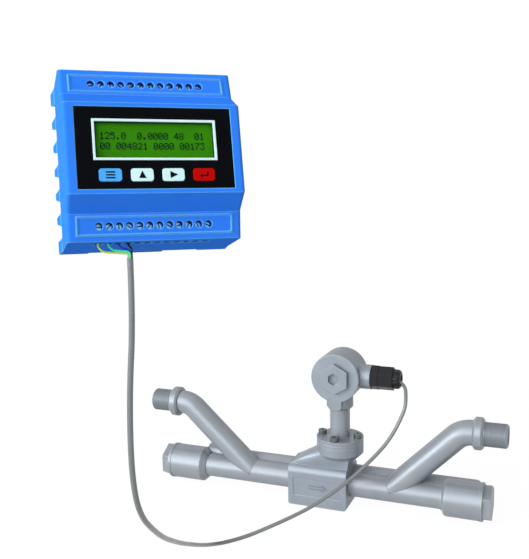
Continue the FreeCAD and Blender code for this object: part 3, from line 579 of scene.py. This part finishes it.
def studio():
    scene = bpy.context.scene
    scene.view_settings.view_transform = "Standard"
    data = bpy.data.meshes.new("floor")
    corners = rectangle(-FLOOR_REACH, -FLOOR_REACH, FLOOR_REACH, FLOOR_REACH)
    data.from_pydata([(x, y, 0) for x, y in corners], [], [(0, 1, 2, 3)])
    data.materials.append(floor_material())
    floor = bpy.data.objects.new("floor", data)
    floor.location.z = cad_box[0].z
    scene.collection.objects.link(floor)

    world = bpy.data.worlds.new("world")
    scene.world = world
    world.use_nodes = True
    tree = world.node_tree
    back = tree.nodes["Background"]
    back.inputs["Color"].default_value = (1, 1, 1, 1)
    level = tree.nodes.new("ShaderNodeMapRange")
    level.inputs["To Min"].default_value = WORLD_LIGHT
    level.inputs["To Max"].default_value = WORLD_SEEN
    tree.links.new(seen_directly(tree), level.inputs["Value"])
    tree.links.new(level.outputs["Result"], back.inputs["Strength"])

    for name, (way, strength, spread) in SUNS.items():
        lamp = bpy.data.lights.new(name, "SUN")
        lamp.energy = strength
        lamp.angle = spread
        lamp.color = SUN_COLOUR
        sun = bpy.data.objects.new(name, lamp)
        sun.rotation_euler = Vector(way).to_track_quat("Z", "Y").to_euler()
        scene.collection.objects.link(sun)


# Steel, casting and case get a lighter colour painted along their edges as a highlight
steel = surface("satin_steel", srgb(151, 154, 160), 0.35, metallic=0.34, specular=0.04, mottle=0.04,
                painted_highlight_tint=srgb(178, 183, 190))
# Thread steel: its darker colour is painted shade of the thread's grooves, its roughness the cut
# thread's own
thread_shade_steel = surface("thread_steel_painted_shade", srgb(122, 126, 132), 0.45, metallic=0.3, specular=0.04)
casting = surface("cast_silver", srgb(147, 152, 160), 0.4, metallic=0.38, specular=0.04, mottle=0.05,
                  grain=0.00008, grain_scale=1500, edge=0.0006, painted_highlight_tint=srgb(160, 165, 173))
# Arrow in a darker grey than the casting: painted shade along its raised outline
arrow_painted_shade = surface("arrow_painted_shade", srgb(140, 145, 153), 0.5, metallic=0.2, specular=0.04)
screw_steel = surface("screw_steel", srgb(106, 112, 109), 0.35, metallic=0.7, specular=0.1)
# Zinc tinted blue: a painted reflection of the blue case round the screws
zinc_painted_blue = surface("zinc_screw_painted_blue_reflection", srgb(134, 190, 232), 0.25, metallic=0.9)
rubber = surface("seal_rubber", srgb(28, 28, 29), 0.7, specular=0.2)
crystal = surface("transducer_resin", srgb(70, 70, 74), 0.5, specular=0.3)
gland = surface("gland_nylon", srgb(20, 21, 23), 0.4, specular=0.25, grain=0.00006, grain_scale=1800)
sheath = surface("cable_sheath", srgb(126, 127, 128), 0.3, metallic=0.2, mottle=0.03, edge=0.0001)
blue_case = surface("case_blue", srgb(54, 134, 255), 0.6, specular=0.004, mottle=0.03, grain=0.00005,
                    grain_scale=1900, edge=0.0009, painted_highlight_tint=srgb(112, 194, 255))
black_base = surface("base_black", srgb(34, 34, 37), 0.5, specular=0.1)
panel = surface("panel_black", srgb(10, 11, 15), 0.5, specular=0.02, mottle=0.08, grain=0.00003)
white_trim = surface("trim_white", srgb(228, 254, 255), 0.4, specular=0.05)
window = clear_sheet("display_window_clear")
lcd = surface("lcd_green", srgb(58, 144, 4), 0.4, specular=0.02, mottle=0.06, mottle_scale=40)
ink_green = surface("lcd_ink", srgb(0, 22, 30), 0.5, specular=0.02)
# Black for the key symbols' print and for the painted shadow round the display window
symbol_and_shadow_black = surface("symbols_and_painted_shadow", srgb(12, 14, 20), 0.5, specular=0.02)
board = surface("board_green", srgb(24, 92, 50), 0.45, specular=0.3)
# Terminal blocks in dark navy: painted blue-tinted shade at the bottom of the screw holes
terminal_navy_shade = surface("terminal_black", srgb(14, 22, 60), 0.5, specular=0.2)
key_blue = surface("key_blue", srgb(84, 178, 255), 0.4, specular=0.05)
key_white = surface("key_white", srgb(218, 254, 255), 0.4, specular=0.05)
key_red = surface("key_red", srgb(199, 8, 5), 0.4, specular=0.03)

dress(steel, "measuring_tube", "inlet_branch", "outlet_branch", "inlet_spigot", "outlet_spigot",
      "inlet_socket", "outlet_socket", "inlet_end_plug", "outlet_end_plug", "inlet_conduit",
      "outlet_conduit", "neck_stem")
dress(casting, "centre_block", "junction_head", "head_plug")
dress(screw_steel, "flange_screws")
dress(zinc_painted_blue, "upper_terminal_screws", "lower_terminal_screws")
dress(rubber, "inlet_plug_seal", "outlet_plug_seal", "neck_gasket", "head_seal", "cable_seal")
dress(crystal, "inlet_transducer", "outlet_transducer")
dress(gland, "gland_body", "gland_nut")
dress(blue_case, "front_cover")
dress(black_base, "rear_base", "rail_latch")
dress(panel, "front_panel")
dress(white_trim, "display_frame")
dress(window, "display_window")
dress(lcd, "lcd_panel")
dress(board, "display_board", "main_board")
dress(terminal_navy_shade, "terminal_strip", "key_switches", "pin_header", "upper_terminal_block",
      "lower_terminal_block")
dress(key_blue, "menu_key")
dress(key_white, "up_key", "right_key")
dress(key_red, "enter_key")
for core, colour in CORE_COLOURS.items():
    dress(surface(core + "_jacket", srgb(*colour), 0.4, specular=0.3, edge=0.0001), core)

camera()
cable(sheath)
display_numerals(ink_green)
window_painted_shadow(symbol_and_shadow_black)
key_symbols(symbol_and_shadow_black)
side_teeth(blue_case)
terminal_heads(zinc_painted_blue)
flow_arrow(arrow_painted_shade)
threaded_spigot("inlet_spigot", SPIGOT_START, -1, steel, thread_shade_steel)
threaded_spigot("outlet_spigot", SPIGOT_END, 1, steel, thread_shade_steel)
studio()
